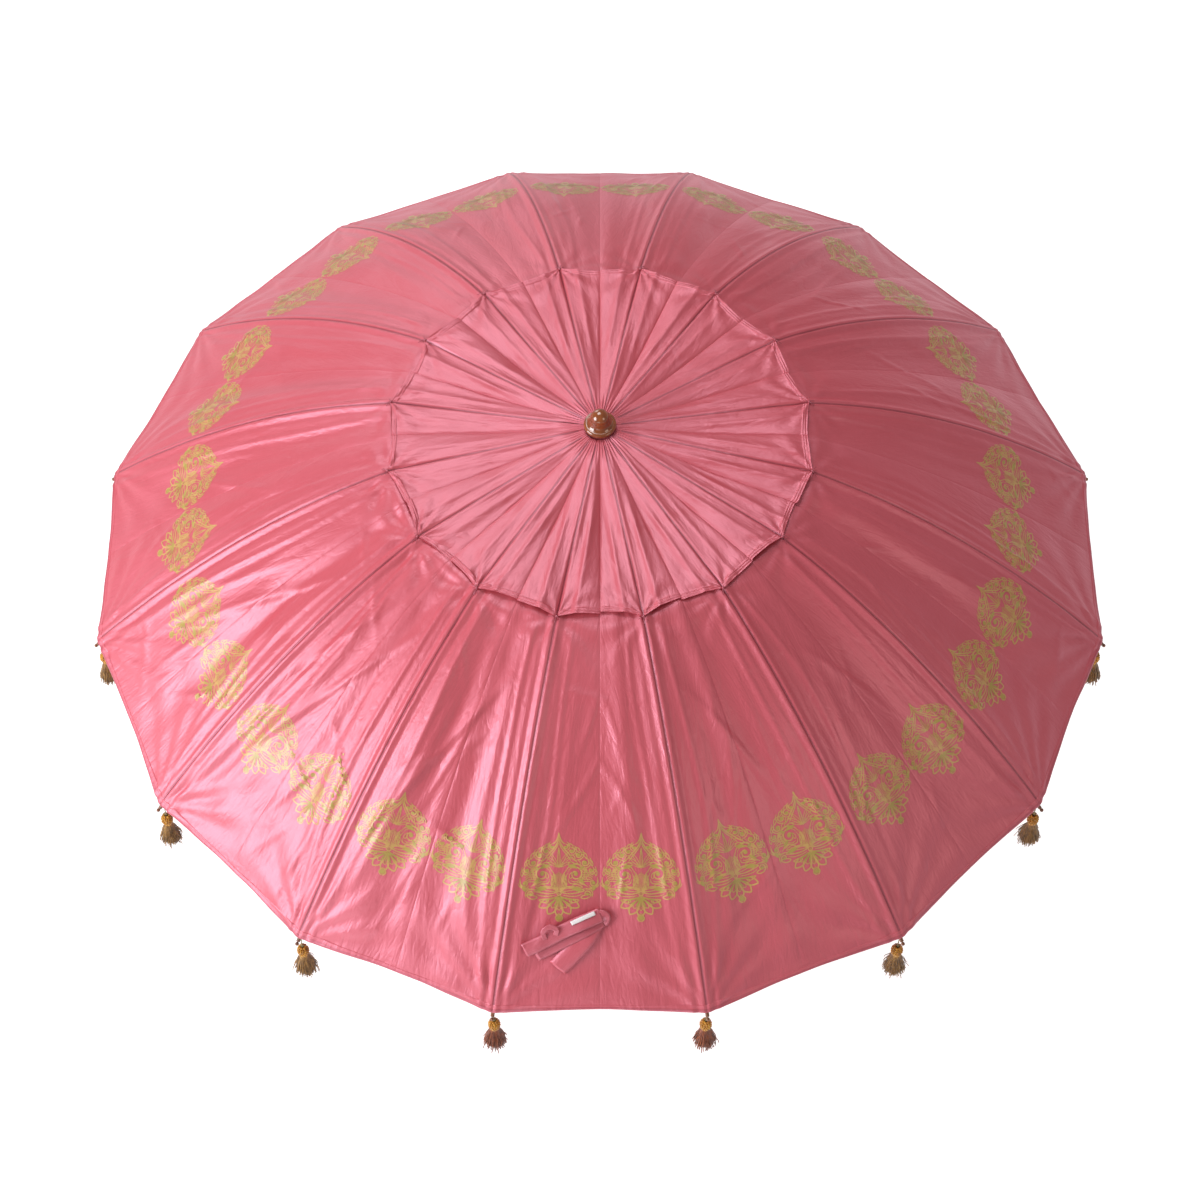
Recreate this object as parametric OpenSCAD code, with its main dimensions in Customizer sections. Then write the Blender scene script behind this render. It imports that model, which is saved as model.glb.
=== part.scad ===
/* [Canopy] */
// Radius of the open canopy at the rib ends
canopy_r = 1100; // [1050:5:1150]
// Height of the canopy's rim above the foot of the pole
rim_z = 1950; // [1800:10:2100]
// Rise of the canopy at the edge of the vent, above the rim
vent_rise = 453; // [440:1:466]
// Radius of the vent cap at the ribs
vent_r = 442; // [430:1:450]
// How far the panels bow outwards between the vent and the rim
bow = 248; // [230:1:260]
// Thickness of the cloth and its hem
cloth = 1.6; // [1.2:0.1:2]

/* [Pole] */
// Radius of the pole
pole_r = 19; // [18.8:0.1:20]
// Radius of the turned foot that goes into a base
foot_r = 18.5; // [17:0.1:18.5]
// Length of the turned foot
foot_h = 300; // [250:10:400]
// Height of the joint in the pole
joint_z = 1000; // [900:10:1100]
// Wall of the brass ferrule
ferrule_wall = 2.5; // [2:0.1:4]

/* [Ribs] */
// Width of a rib
rib_w = 8; // [7:0.1:8.2]
// Depth of a rib
rib_d = 14; // [12:0.5:15]
// Gap between a rib and the cloth above it
rib_gap = 3; // [2.5:0.1:4]
// Radius of the ring of hinges in the crown and the runner
hinge_r = 36; // [36:0.5:37]
// Radius at which the stretchers meet the ribs
pivot_r = 500; // [480:5:520]
// Drop from the crown hinges to the runner hinges when open
open_drop = 401; // [390:1:410]
// How far the rounded rib ends stand past the hem
tip_out = 22; // [10:1:24]

/* [Finial] */
// Width of the finial's foot
finial_w = 67; // [60:1:70]
// Height of the finial
finial_h = 47; // [44:1:55]

/* [Tassels] */
// Length of a tassel's cord
tassel_cord = 40; // [36:1:55]
// Width of a tassel's head
head_w = 27; // [24:1:28]
// Height of a tassel's head
head_h = 36; // [32:1:46]
// Length of a tassel's skirt
skirt_h = 64; // [50:1:66]

/* [Hidden] */
n = 16;
step = 360 / n;
half = step / 2;
$fn = 64;
// The crown hinges stand this far above the rim plane.
crown_z = rim_z + 466;
runner_z = crown_z - open_drop;
hub_r = 46;
dome_r = 19.5;
hub_top = rim_z + 485;
cap_top = rim_z + 493;
cap_edge = rim_z + vent_rise + 3;
throat_r = 360;
fork_w = 9.4;
cheek = 3.6;

// Azimuth of rib k, counted clockwise from the front left, seen from above.
function azimuth(k) = -90 - half - step * k;

// Height of the cloth along a rib, above the rim plane.
function share(r) = (r - vent_r) / (canopy_r - vent_r);
function rise(r) = r < vent_r
  ? vent_rise + 0.06 * (vent_r - r)
  : vent_rise * (1 - share(r)) + bow * share(r) * (1 - share(r))
    + 3.5 * share(r) * (1 - share(r)) * (1 - 2 * share(r));
function slope(r) = (rise(r + 0.5) - rise(r - 0.5));
// A point under the cloth, at distance d from it, along a rib.
function under(r, d) = let (q = min(r, canopy_r), s = slope(min(q, canopy_r - 1)), h = sqrt(1 + s * s))
  [q + s * d / h + (r - q) / h, rim_z + rise(q) - d / h + (r - q) * s / h];

// The middle line of a rib, from its hinge to its end.
hinge = [hinge_r, crown_z];
mid_d = rib_gap + rib_d / 2;
first = under(vent_r + 3, mid_d);
pivot = under(pivot_r, mid_d);
tip = under(canopy_r + tip_out - rib_w / 2, mid_d);
// The rib thins from its pivot to its end.
function depth(r) = r < pivot_r ? rib_d : rib_d - (rib_d - rib_w) * (r - pivot_r) / (canopy_r - pivot_r);
runs = [for (i = [0 : 22]) vent_r + 3 + (canopy_r - vent_r - 3) * i / 22];

// --- pole ---
module pole_lower() color("saddlebrown") {
  translate([0, 0, foot_h]) cylinder(r = pole_r, h = joint_z - foot_h);
  translate([0, 0, 6]) cylinder(r = foot_r, h = foot_h - 6);
  cylinder(r1 = foot_r - 4, r2 = foot_r, h = 6);
}

module pole_ferrule() color("goldenrod") difference() {
  union() {
    translate([0, 0, joint_z - 80]) cylinder(r = pole_r + ferrule_wall, h = 160);
    for (z = [joint_z - 80, joint_z + 74]) translate([0, 0, z]) cylinder(r = pole_r + ferrule_wall + 1.5, h = 6);
  }
  translate([0, 0, joint_z - 81]) cylinder(r = pole_r + 0.05, h = 162);
}

module pole_upper() color("saddlebrown") {
  translate([0, 0, joint_z + 0.1]) cylinder(r = pole_r, h = rim_z + 440 - joint_z - 0.1);
  translate([0, 0, rim_z + 439]) cylinder(r = 10, h = cap_top + 18 - rim_z - 439);
}

// --- crown ---
module slots(z, h, r0) for (k = [0 : n - 1]) rotate(azimuth(k))
  translate([r0, -rib_w / 2 - 0.3, z]) cube([hub_r, rib_w + 0.6, h]);

module pin_ring(z, r, w) for (k = [0 : n - 1]) rotate(azimuth(k))
  translate([hinge_r, w / 2, z]) rotate([90, 0, 0]) cylinder(r = r, h = w, $fn = 32);

module crown_hub() color("saddlebrown") difference() {
  union() {
    translate([0, 0, rim_z + 440.2]) cylinder(r = hub_r, h = hub_top - rim_z - 440.2);
  }
  translate([0, 0, rim_z + 430]) cylinder(r = 10.1, h = 70);
  slots(rim_z + 439, 37, 27);
  pin_ring(crown_z, 1.65, 12.6);
}

module crown_pins() color("goldenrod") pin_ring(crown_z, 1.6, 12.4);

// --- runner ---
module runner() color("saddlebrown") difference() {
  union() {
    translate([0, 0, runner_z - 16]) cylinder(r = hub_r, h = 26);
    translate([0, 0, runner_z - 78]) cylinder(r = 29, h = 63);
    translate([0, 0, runner_z - 78]) cylinder(r = 32, h = 8);
  }
  translate([0, 0, runner_z - 90]) cylinder(r = pole_r + 0.4, h = 120);
  slots(runner_z - 8, 30, 26.5);
  pin_ring(runner_z, 1.65, 12.6);
  translate([10, 0, runner_z - 45]) rotate([0, 90, 0]) cylinder(r = 4.08, h = 30, $fn = 32);
}

module runner_pins() color("goldenrod") pin_ring(runner_z, 1.6, 12.4);

module runner_knob() color("goldenrod") translate([0, 0, runner_z - 45]) rotate([0, 90, 0]) {
  translate([0, 0, pole_r + 0.8]) cylinder(r = 4, h = 16, $fn = 32);
  translate([0, 0, pole_r + 14]) cylinder(r = 7, h = 5);
  difference() {
    translate([0, 0, pole_r + 18]) cylinder(r = 15, h = 12);
    for (a = [0 : 60 : 300]) rotate(a) translate([17.5, 0, pole_r + 17]) cylinder(r = 5, h = 14, $fn = 32);
  }
}

// --- finial ---
module finial() color("sienna") translate([0, 0, cap_top + 1.5]) difference() {
  rotate_extrude() polygon(concat(
    [[0, 0], [finial_w / 2 - 2.5, 0], [finial_w / 2, 2.5], [finial_w / 2, 8], [finial_w / 2 - 2, 11], [finial_w / 2 - 6, 13]],
    [for (a = [0 : 15 : 75]) [21 + (finial_w / 2 - 27) * (1 - sin(a)), 13 + 12 * (1 - cos(a))]],
    [for (a = [-5 : 10 : 85]) [dome_r * cos(a), finial_h - dome_r + dome_r * sin(a)]],
    [[0, finial_h]]));
  translate([0, 0, -1]) cylinder(r = 10.1, h = 18.6);
}

// --- cloth ---
// One panel between two ribs. The list gives [radius, height] along a rib; the middle lies sag mm inside the straight line.
module panel(rows, sag) {
  m = len(rows);
  p = [for (s = [1, -1]) for (i = [0 : m - 1]) for (j = [-1 : 1])
    let (r = rows[i][0], z = rows[i][1] + s * cloth / 2, a = half - 0.25 / r * 180 / PI)
    j == 0 ? [r * cos(half) - sag * i / (m - 1), 0, z] : [r * cos(a), j * r * sin(a), z]];
  b = 3 * m;
  f = concat(
    [for (i = [0 : m - 2]) for (j = [0 : 1]) let (a = 3 * i + j) each [[a, a + 1, a + 4], [a, a + 4, a + 3]]],
    [for (i = [0 : m - 2]) for (j = [0 : 1]) let (a = b + 3 * i + j) each [[a, a + 4, a + 1], [a, a + 3, a + 4]]],
    [for (i = [0 : m - 2]) let (a = 3 * i) each [[a, a + 3, b + a], [b + a, a + 3, b + a + 3]]],
    [for (i = [0 : m - 2]) let (a = 3 * i + 2) each [[a, b + a, a + 3], [b + a, b + a + 3, a + 3]]],
    [for (j = [0 : 1]) each [[j, b + j, j + 1], [b + j, b + j + 1, j + 1]]],
    [for (j = [0 : 1]) let (a = 3 * (m - 1) + j) each [[a, a + 1, b + a], [b + a, a + 1, b + a + 1]]]);
  polyhedron(points = p, faces = f, convexity = 4);
}

canopy_rows = concat([[throat_r, rim_z + rise(throat_r)]],
  [for (i = [0 : 12]) let (r = vent_r + (canopy_r - vent_r) * i / 12) [r, rim_z + rise(r)]]);
cap_rows = [for (i = [0 : 3]) let (r = 14 + (vent_r - 14) * i / 3) [r, cap_top + (cap_edge - cap_top) * r / vent_r]];

module canopy() color("palevioletred") for (k = [0 : n - 1]) rotate(azimuth(k) - half) panel(canopy_rows, 4);
module vent_cap() color("palevioletred") for (k = [0 : n - 1]) rotate(azimuth(k) - half) panel(cap_rows, 0);

// The tie strap lies on the front panel, on the left of its middle, folded double.
function on_front(x, r) = [x, -r * cos(half), rim_z + rise(r)];
module tie_strap() color("indianred") {
  s = slope(965);
  translate([-52, -948 * cos(half), rim_z + rise(948) + 4.2]) rotate([atan(-s), 0, 0])
    rotate(-40) translate([-16, -86, 0]) cube([32, 150, 4]);
}

// --- ribs ---
module bar(points) rotate([90, 0, 0]) translate([0, 0, -rib_w / 2]) linear_extrude(rib_w) polygon(points);

module rib_bar() {
  bar(concat(
    [for (i = [0 : 22]) under(runs[i], rib_gap + (rib_d - depth(runs[i])) / 2)],
    [for (i = [22 : -1 : 0]) under(runs[i], rib_gap + rib_d - (rib_d - depth(runs[i])) / 2)],
    [[hinge_r, crown_z - 6.5], [hinge_r, crown_z + 6.5]]));
  translate([hinge_r, rib_w / 2, crown_z]) rotate([90, 0, 0]) cylinder(r = 6.5, h = rib_w);
}

module rib(k) rotate(azimuth(k)) {
  color("sienna") difference() {
    union() {
      rib_bar();
      // rounded end past the hem
      translate([under(canopy_r - 14, mid_d)[0], 0, under(canopy_r - 14, mid_d)[1]])
        rotate([0, 90 - atan(slope(canopy_r - 1)), 0]) cylinder(r = rib_w / 2, h = 10 + tip_out, $fn = 32);
      translate([tip[0], 0, tip[1]]) sphere(r = rib_w / 2, $fn = 32);
    }
    translate([hinge_r, rib_w, crown_z]) rotate([90, 0, 0]) cylinder(r = 1.7, h = 2 * rib_w, $fn = 32);
    translate([pivot[0], rib_w, pivot[1]]) rotate([90, 0, 0]) cylinder(r = 2.45, h = 2 * rib_w, $fn = 32);
  }
  color("goldenrod") translate([pivot[0], rib_w / 2, pivot[1]]) rotate([90, 0, 0]) cylinder(r = 2.4, h = rib_w, $fn = 32);
}

// --- stretchers ---
reach = norm([pivot[0] - hinge_r, pivot[1] - runner_z]);
lean = atan2(pivot[1] - runner_z, pivot[0] - hinge_r);
fork = 132;
module stretcher(k) color("sienna") rotate(azimuth(k)) translate([hinge_r, 0, runner_z]) rotate([0, -lean, 0]) difference() {
  union() {
    translate([0, -rib_w / 2, -5.5]) cube([reach - 150, rib_w, 11]);
    rotate([90, 0, 0]) translate([0, 0, -rib_w / 2]) cylinder(r = 6, h = rib_w);
    linear_extrude(11, center = true) polygon([
      [reach - 170, -rib_w / 2], [reach - 145, -fork_w / 2 - cheek], [reach, -fork_w / 2 - cheek],
      [reach, fork_w / 2 + cheek], [reach - 145, fork_w / 2 + cheek], [reach - 170, rib_w / 2]]);
    translate([reach, fork_w / 2 + cheek, 0]) rotate([90, 0, 0]) cylinder(r = 5.5, h = fork_w + 2 * cheek);
  }
  translate([0, rib_w, 0]) rotate([90, 0, 0]) cylinder(r = 1.7, h = 2 * rib_w, $fn = 32);
  translate([reach - fork, -fork_w / 2, -20]) cube([fork + 20, fork_w, 40]);
}

// --- tassels ---
// The cord hangs from under the rib, just inside the hem.
hang_r = canopy_r - 8;
hang = [hang_r, under(hang_r + 8, mid_d)[1] - rib_w + 0.1];
module tassel(k) rotate(azimuth(k)) translate([hang[0], 0, hang[1]]) {
  // the knot that hangs from the rib, round about the tassel's own hinge line
  color("darkkhaki") {
    translate([0, 2, 0]) rotate([90, 0, 0]) cylinder(r = 1.6, h = 4, $fn = 32);
    translate([0, 0, -tassel_cord]) cylinder(r = 1.5, h = tassel_cord, $fn = 24);
  }
  color("goldenrod") translate([0, 0, -tassel_cord - head_h]) rotate_extrude($fn = 32)
    polygon(concat([[0, 0]], [for (a = [-70 : 20 : 70]) [head_w / 2 * cos(a), head_h / 2 + head_h / 2 * sin(a) / sin(70)]], [[0, head_h]]));
  color("peru") translate([0, 0, -tassel_cord - head_h - skirt_h]) cylinder(r1 = 25, r2 = 8, h = skirt_h - 0.2, $fn = 32);
}

module rib_01() rib(0);
module rib_02() rib(1);
module rib_03() rib(2);
module rib_04() rib(3);
module rib_05() rib(4);
module rib_06() rib(5);
module rib_07() rib(6);
module rib_08() rib(7);
module rib_09() rib(8);
module rib_10() rib(9);
module rib_11() rib(10);
module rib_12() rib(11);
module rib_13() rib(12);
module rib_14() rib(13);
module rib_15() rib(14);
module rib_16() rib(15);
module stretcher_01() stretcher(0);
module stretcher_02() stretcher(1);
module stretcher_03() stretcher(2);
module stretcher_04() stretcher(3);
module stretcher_05() stretcher(4);
module stretcher_06() stretcher(5);
module stretcher_07() stretcher(6);
module stretcher_08() stretcher(7);
module stretcher_09() stretcher(8);
module stretcher_10() stretcher(9);
module stretcher_11() stretcher(10);
module stretcher_12() stretcher(11);
module stretcher_13() stretcher(12);
module stretcher_14() stretcher(13);
module stretcher_15() stretcher(14);
module stretcher_16() stretcher(15);
module tassel_01() tassel(0);
module tassel_02() tassel(1);
module tassel_03() tassel(2);
module tassel_04() tassel(3);
module tassel_05() tassel(4);
module tassel_06() tassel(5);
module tassel_07() tassel(6);
module tassel_08() tassel(7);
module tassel_09() tassel(8);
module tassel_10() tassel(9);
module tassel_11() tassel(10);
module tassel_12() tassel(11);
module tassel_13() tassel(12);
module tassel_14() tassel(13);
module tassel_15() tassel(14);
module tassel_16() tassel(15);

pole_lower();
pole_ferrule();
pole_upper();
crown_hub();
crown_pins();
runner();
runner_pins();
runner_knob();
finial();
canopy();
vent_cap();
tie_strap();
rib_01();
rib_02();
rib_03();
rib_04();
rib_05();
rib_06();
rib_07();
rib_08();
rib_09();
rib_10();
rib_11();
rib_12();
rib_13();
rib_14();
rib_15();
rib_16();
stretcher_01();
stretcher_02();
stretcher_03();
stretcher_04();
stretcher_05();
stretcher_06();
stretcher_07();
stretcher_08();
stretcher_09();
stretcher_10();
stretcher_11();
stretcher_12();
stretcher_13();
stretcher_14();
stretcher_15();
stretcher_16();
tassel_01();
tassel_02();
tassel_03();
tassel_04();
tassel_05();
tassel_06();
tassel_07();
tassel_08();
tassel_09();
tassel_10();
tassel_11();
tassel_12();
tassel_13();
tassel_14();
tassel_15();
tassel_16();
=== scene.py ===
import math

import bpy
import numpy as np
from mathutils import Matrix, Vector


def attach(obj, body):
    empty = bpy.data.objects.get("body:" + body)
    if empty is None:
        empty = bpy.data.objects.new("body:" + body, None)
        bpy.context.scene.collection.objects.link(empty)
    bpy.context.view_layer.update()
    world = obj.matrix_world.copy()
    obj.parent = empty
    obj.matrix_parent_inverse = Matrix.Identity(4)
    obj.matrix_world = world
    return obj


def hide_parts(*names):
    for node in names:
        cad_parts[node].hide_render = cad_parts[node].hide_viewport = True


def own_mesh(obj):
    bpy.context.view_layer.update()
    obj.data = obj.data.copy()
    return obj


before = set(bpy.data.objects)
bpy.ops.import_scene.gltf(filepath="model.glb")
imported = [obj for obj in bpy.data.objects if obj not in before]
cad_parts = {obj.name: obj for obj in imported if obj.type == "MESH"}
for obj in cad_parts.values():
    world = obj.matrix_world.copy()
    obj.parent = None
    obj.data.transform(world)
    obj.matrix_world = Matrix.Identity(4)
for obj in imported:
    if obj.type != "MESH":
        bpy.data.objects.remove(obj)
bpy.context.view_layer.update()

# ---------------------------------------------------------------- the frame's numbers, in metres
N = 16
H = math.radians(360 / N / 2)
R, ZR, RV, THROAT = 1.100, 1.950, 0.442, 0.360
HINGE_R, CROWN_Z = 0.036, 1.950 + 0.466
RUNNER_Z = CROWN_Z - 0.401
CAP_TOP, CAP_EDGE = 1.950 + 0.493, 1.950 + 0.456


def azimuth(k):
    return math.radians(-90) - H - 2 * H * k


def rise(r):
    r = np.asarray(r, float)
    t = (r - RV) / (R - RV)
    z = 0.453 * (1 - t) + 0.248 * t * (1 - t) + 0.0035 * t * (1 - t) * (1 - 2 * t)
    return np.where(r < RV, 0.453 + 0.06 * (RV - r), z)


def slope(r):
    r = np.asarray(r, float)
    s = (rise(r + 0.0005) - rise(r - 0.0005)) / 0.001
    # the bend at the vent's edge is eased
    w = np.clip((r - RV + 0.02) / 0.04, 0, 1)
    return np.where(r < RV + 0.02, -0.06 * (1 - w) + s * w, s)


def ease(a, b, x):
    t = np.clip((np.asarray(x, float) - a) / (b - a), 0, 1)
    return t * t * (3 - 2 * t)


def bell(x, w):
    return np.exp(-((np.asarray(x, float) / w) ** 2))


def rng(seed):
    return np.random.default_rng(seed)


# ---------------------------------------------------------------- materials
def linear(c):
    return tuple(
        (x / 255 / 12.92) if x / 255 <= 0.04045 else ((x / 255 + 0.055) / 1.055) ** 2.4
        for x in c
    )


class Nodes:
    """A short way to write a node tree."""

    def __init__(self, name):
        self.m = bpy.data.materials.new(name)
        self.m.use_nodes = True
        self.t = self.m.node_tree
        self.bsdf = self.t.nodes["Principled BSDF"]

    def add(self, kind, **values):
        n = self.t.nodes.new(kind)
        for k, v in values.items():
            if k.startswith("in_"):
                key = k[3:].replace("_", " ")
                n.inputs[key if key in n.inputs else int(key)].default_value = v
            else:
                setattr(n, k, v)
        return n

    def link(self, a, b):
        self.t.links.new(a, b)

    def ramp(self, fac, stops):
        n = self.t.nodes.new("ShaderNodeValToRGB")
        while len(n.color_ramp.elements) < len(stops):
            n.color_ramp.elements.new(0.5)
        for e, (p, c) in zip(n.color_ramp.elements, stops):
            e.position, e.color = p, (*c, 1)
        self.link(fac, n.inputs["Fac"])
        return n.outputs["Color"]

    def noise(self, vector, scale, detail=4.0, rough=0.55, distortion=0.0):
        n = self.t.nodes.new("ShaderNodeTexNoise")
        n.inputs["Scale"].default_value = scale
        n.inputs["Detail"].default_value = detail
        n.inputs["Roughness"].default_value = rough
        n.inputs["Distortion"].default_value = distortion
        if vector is not None:
            self.link(vector, n.inputs["Vector"])
        return n.outputs["Fac"]

    def mapped(self, source, scale, rotation=(0, 0, 0)):
        n = self.t.nodes.new("ShaderNodeMapping")
        n.inputs["Scale"].default_value = scale
        n.inputs["Rotation"].default_value = rotation
        self.link(source, n.inputs["Vector"])
        return n.outputs["Vector"]

    def mix(self, fac, a, b, mode="MIX"):
        n = self.t.nodes.new("ShaderNodeMix")
        n.data_type = "RGBA"
        n.blend_type = mode
        for value, socket in ((fac, 0), (a, 6), (b, 7)):
            if isinstance(value, (int, float)):
                n.inputs[socket].default_value = value
            elif isinstance(value, tuple):
                n.inputs[socket].default_value = (*value, 1)
            else:
                self.link(value, n.inputs[socket])
        return n.outputs[2]

    def math(self, op, a, b=None):
        n = self.t.nodes.new("ShaderNodeMath")
        n.operation = op
        for value, socket in ((a, 0), (b, 1)):
            if value is None:
                continue
            if isinstance(value, (int, float)):
                n.inputs[socket].default_value = value
            else:
                self.link(value, n.inputs[socket])
        return n.outputs[0]

    def bump(self, height, strength, distance, normal=None):
        n = self.t.nodes.new("ShaderNodeBump")
        n.inputs["Strength"].default_value = strength
        n.inputs["Distance"].default_value = distance
        self.link(height, n.inputs["Height"])
        if normal is not None:
            self.link(normal, n.inputs["Normal"])
        return n.outputs["Normal"]

    def set(self, **values):
        names = {
            "rough": "Roughness",
            "sheen": "Sheen Weight",
            "sheen_rough": "Sheen Roughness",
            "sheen_tint": "Sheen Tint",
            "spec": "Specular IOR Level",
            "coat": "Coat Weight",
            "coat_rough": "Coat Roughness",
            "metal": "Metallic",
            "aniso": "Anisotropic",
        }
        for k, v in values.items():
            s = self.bsdf.inputs[names[k]]
            s.default_value = (*v, 1) if isinstance(v, tuple) else v

    def uv(self):
        return self.t.nodes.new("ShaderNodeUVMap").outputs["UV"]

    def obj(self):
        return self.t.nodes.new("ShaderNodeTexCoord").outputs["Object"]


def satin(name, base, deep, bright, weave=True, under=1.0):
    """Satin cloth. UVs are in units of 100 mm, U across the panel and V down it."""
    m = Nodes(name)
    uv = m.uv()
    # broad unevenness of the dye, and the long slubs of the weft
    broad = m.noise(m.mapped(uv, (1.0, 0.6, 1)), 1.3, 3.0, 0.5)
    slub = m.noise(m.mapped(uv, (60.0, 2.2, 1)), 1.0, 3.0, 0.6)
    cross = m.noise(m.mapped(uv, (2.2, 70.0, 1)), 1.0, 2.0, 0.6)
    colour = m.mix(0.88, m.ramp(broad, [(0.30, deep), (0.70, bright)]), base)
    colour = m.mix(0.14, colour, m.ramp(slub, [(0.35, deep), (0.65, bright)]))
    colour = m.mix(0.07, colour, m.ramp(cross, [(0.35, deep), (0.65, bright)]))
    m.link(colour, m.bsdf.inputs["Base Color"])
    rough = m.t.nodes.new("ShaderNodeMapRange")
    rough.inputs["To Min"].default_value = 0.43
    rough.inputs["To Max"].default_value = 0.54
    m.link(slub, rough.inputs["Value"])
    m.link(rough.outputs["Result"], m.bsdf.inputs["Roughness"])
    # fine crumple of a cloth that was folded away, and the weave itself
    crumple = m.noise(m.mapped(uv, (1.7, 0.75, 1), (0, 0, 0.25)), 2.2, 3.0, 0.5, 0.7)
    ridge = m.math("ABSOLUTE", m.math("SUBTRACT", crumple, 0.5))
    n = m.bump(ridge, 0.22, 0.010)
    pulls = m.noise(m.mapped(uv, (2.6, 0.5, 1), (0, 0, -0.5)), 2.4, 2.0, 0.5, 0.4)
    pulls = m.math("ABSOLUTE", m.math("SUBTRACT", pulls, 0.5))
    n = m.bump(pulls, 0.22, 0.008, n)
    threads = m.t.nodes.new("ShaderNodeTexWave")
    threads.wave_type, threads.bands_direction = "BANDS", "DIAGONAL"
    threads.inputs["Scale"].default_value = 22.0
    threads.inputs["Distortion"].default_value = 0.6
    m.link(m.mapped(uv, (1.0, 1.35, 1)), threads.inputs["Vector"])
    n = m.bump(threads.outputs["Fac"], 0.10, 0.0003, n)
    n = m.bump(slub, 0.07, 0.0006, n)
    m.link(n, m.bsdf.inputs["Normal"])
    m.bsdf.inputs["Specular Tint"].default_value = (*linear((255, 222, 246)), 1)
    m.bsdf.inputs["IOR"].default_value = 1.85
    m.set(
        sheen=0.05,
        sheen_rough=0.30,
        sheen_tint=linear((255, 190, 215)),
        spec=0.85,
        metal=0.10,
        aniso=0.4,
    )
    return m.m


ROSE = linear((196, 74, 82))
ROSE_DEEP = linear((180, 58, 63))
ROSE_BRIGHT = linear((208, 94, 106))
M_SATIN = satin("satin_rose", ROSE, ROSE_DEEP, ROSE_BRIGHT)
# the hem cloth is darker than the rest: painted shade for the dark line along and under the turned-under edges
M_HEM_SHADED = satin(
    "satin_hem_shaded",
    linear((176, 58, 66)),
    linear((150, 42, 48)),
    linear((190, 74, 84)),
)
M_STRAP = satin(
    "satin_strap",
    linear((188, 74, 82)),
    linear((164, 54, 60)),
    linear((202, 94, 104)),
)
M_SEAM = satin(
    "satin_seam",
    linear((158, 50, 56)),
    linear((130, 34, 38)),
    linear((176, 66, 74)),
)


def print_ink(name, a, b, c):
    m = Nodes(name)
    uv = m.uv()
    patch = m.noise(m.mapped(uv, (1, 1, 1)), 9.0, 3.0, 0.6)
    fine = m.noise(m.mapped(uv, (50, 50, 1)), 1.0, 2.0, 0.6)
    colour = m.ramp(patch, [(0.32, a), (0.5, b), (0.68, c)])
    colour = m.mix(0.22, colour, m.ramp(fine, [(0.35, a), (0.65, c)]))
    m.link(colour, m.bsdf.inputs["Base Color"])
    m.link(m.bump(fine, 0.25, 0.0003), m.bsdf.inputs["Normal"])
    m.bsdf.inputs["IOR"].default_value = 1.60
    m.set(rough=0.44, sheen=0.05, sheen_rough=0.4, spec=0.75)
    return m.m


M_GOLD = print_ink(
    "print_gold", linear((192, 138, 84)), linear((194, 152, 84)), linear((188, 158, 82))
)
M_OLIVE = print_ink(
    "print_olive", linear((176, 138, 70)), linear((168, 142, 62)), linear((162, 148, 62))
)


def wood(name, light, dark, rough, coat, scale=1.0, axis="Z"):
    """Varnished wood with long grain along one axis of the object."""
    m = Nodes(name)
    at = m.obj()
    stretch = {"Z": (26, 26, 1.6), "X": (1.6, 26, 26)}[axis]
    grain = m.noise(
        m.mapped(at, tuple(s * scale for s in stretch)), 4.0, 8.0, 0.6, 0.8
    )
    pores = m.noise(
        m.mapped(at, tuple(s * scale * 6 for s in stretch)), 3.0, 3.0, 0.7
    )
    broad = m.noise(m.mapped(at, tuple(s * 0.2 for s in stretch)), 2.0, 2.0, 0.5)
    mid = tuple((x + y) / 2 for x, y in zip(light, dark))
    colour = m.ramp(grain, [(0.30, dark), (0.50, mid), (0.68, light)])
    colour = m.mix(0.35, colour, m.ramp(broad, [(0.3, dark), (0.7, light)]))
    colour = m.mix(
        m.math("MULTIPLY", m.math("GREATER_THAN", pores, 0.63), 0.35),
        colour,
        tuple(x * 0.45 for x in dark),
    )
    m.link(colour, m.bsdf.inputs["Base Color"])
    n = m.bump(grain, 0.12, 0.0006)
    m.link(m.bump(pores, 0.10, 0.0003, n), m.bsdf.inputs["Normal"])
    m.set(rough=rough, coat=coat, coat_rough=0.08, spec=0.5)
    return m.m


M_POLE = wood("wood_pole", linear((150, 92, 48)), linear((92, 48, 22)), 0.38, 0.35)
M_FRAME = wood("wood_frame", linear((146, 92, 58)), linear((84, 46, 26)), 0.42, 0.25)
M_FINIAL = wood(
    "wood_finial", linear((158, 84, 34)), linear((112, 52, 18)), 0.2, 1.0, 0.8
)


def brass(name):
    m = Nodes(name)
    at = m.obj()
    marks = m.noise(m.mapped(at, (120, 120, 500)), 1.0, 3.0, 0.6)
    tarnish = m.noise(m.mapped(at, (25, 25, 25)), 1.0, 4.0, 0.6)
    m.link(
        m.ramp(
            tarnish,
            [
                (0.32, linear((132, 92, 40))),
                (0.55, linear((200, 156, 84))),
                (0.8, linear((222, 184, 112))),
            ],
        ),
        m.bsdf.inputs["Base Color"],
    )
    r = m.t.nodes.new("ShaderNodeMapRange")
    r.inputs["To Min"].default_value, r.inputs["To Max"].default_value = 0.22, 0.42
    m.link(tarnish, r.inputs["Value"])
    m.link(r.outputs["Result"], m.bsdf.inputs["Roughness"])
    m.link(m.bump(marks, 0.08, 0.0003), m.bsdf.inputs["Normal"])
    m.set(metal=1.0)
    return m.m


M_BRASS = brass("brass_satin")


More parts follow.
